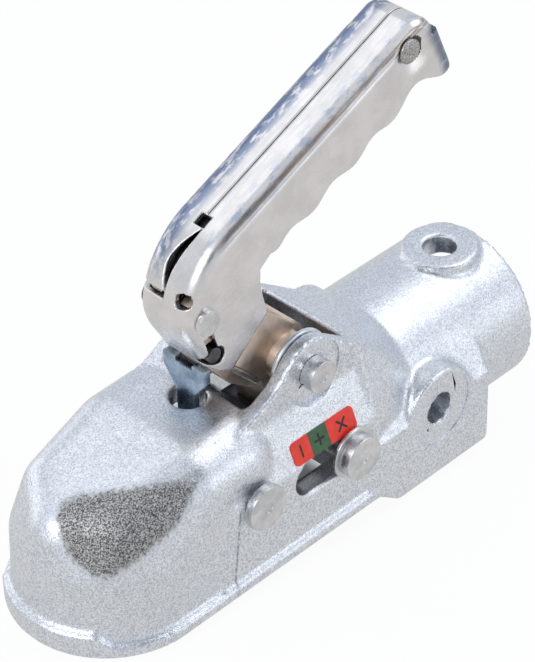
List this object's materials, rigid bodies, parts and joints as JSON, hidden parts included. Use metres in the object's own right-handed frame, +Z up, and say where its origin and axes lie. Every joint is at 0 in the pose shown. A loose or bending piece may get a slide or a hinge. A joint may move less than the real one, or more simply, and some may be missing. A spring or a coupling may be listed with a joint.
{
  "type": "trailer coupling head",
  "caption": "Cast trailer coupling head with a ball cup, folded sheet handle, wear indicator slot and a round sleeve for the drawbar, shown with the handle raised.",
  "frame": {"origin": "centre of the towing ball in the closed cup", "axes": "+X towards the drawbar along its bore, +Z up, away from the ball neck, +Y to the side away from the indicator label"},
  "size_m": [0.2243, 0.083, 0.1795],
  "materials": {
    "cast_zinc": "bright grainy zinc plate on a casting",
    "tongue_zinc": "bluish zinc plate",
    "jaw_steel": "dull zinc plate",
    "plated_pin": "satin zinc plate",
    "plated_sheet": "smooth warm grey plated sheet",
    "bronze_steel": "bronze coloured passivated plate",
    "catch_steel": "satin grey",
    "spring_steel": "dark spring steel",
    "dark_steel": "dark steel",
    "bush": "plain bush",
    "label": "glossy printed label in red and green"
  },
  "bodies": {
    "housing": {"housing": "cast_zinc", "jaw_pin": "plated_pin", "jaw_pin_clip": "spring_steel", "pivot_pin": "plated_pin", "pivot_pin_clip": "spring_steel", "indicator_label": "label", "sensor_spring": "spring_steel"},
    "handle": {"handle_shell": "plated_sheet", "inner_lever": "bronze_steel", "pivot_bushes": "bush", "handle_rivet": "plated_pin", "grip_rivet": "plated_pin", "grip_spacer": "dark_steel", "catch_spring": "spring_steel"},
    "catch": {"catch_lever": "catch_steel", "catch_pin": "dark_steel"},
    "jaw": {"ball_jaw": "jaw_steel"},
    "sensor": {"sensor_lever": "tongue_zinc"},
    "indicator": {"indicator_pin": "plated_pin", "near_washer": "plated_pin", "far_washer": "plated_pin", "indicator_clip": "spring_steel", "thrust_block": "dark_steel", "pressure_spring": "spring_steel"}
  },
  "joints": [
    {"name": "handle_hinge", "type": "hinge", "parent": "housing", "child": "handle", "pos_m": [0.0745, 0, 0.0436], "axis": [0, 1, 0], "range_deg": [0, 28.6]},
    {"name": "catch_hinge", "type": "hinge", "parent": "handle", "child": "catch", "pos_m": [0.0379, 0, 0.0787], "axis": [0, 1, 0], "range_deg": [0, 3], "stiffness_Nm_per_rad": 0.5},
    {"name": "jaw_hinge", "type": "hinge", "parent": "housing", "child": "jaw", "pos_m": [0.0395, 0, 0.0108], "axis": [0, 1, 0], "range_deg": [0, 15.1]},
    {"name": "sensor_hinge", "type": "hinge", "parent": "housing", "child": "sensor", "pos_m": [0.0395, 0, 0.0108], "axis": [0, 1, 0], "range_deg": [-5, 0], "stiffness_Nm_per_rad": 0.3},
    {"name": "indicator_slide", "type": "slide", "parent": "housing", "child": "indicator", "axis": [-1, 0, 0], "range_m": [0, 0.0188], "deforming": ["pressure_spring"]}
  ],
  "couplings": [
    {"joint": "indicator_slide", "follows": "handle_hinge", "m_per_rad": 0.03686},
    {"joint": "jaw_hinge", "follows": "handle_hinge", "ratio": 0.5245}
  ]
}
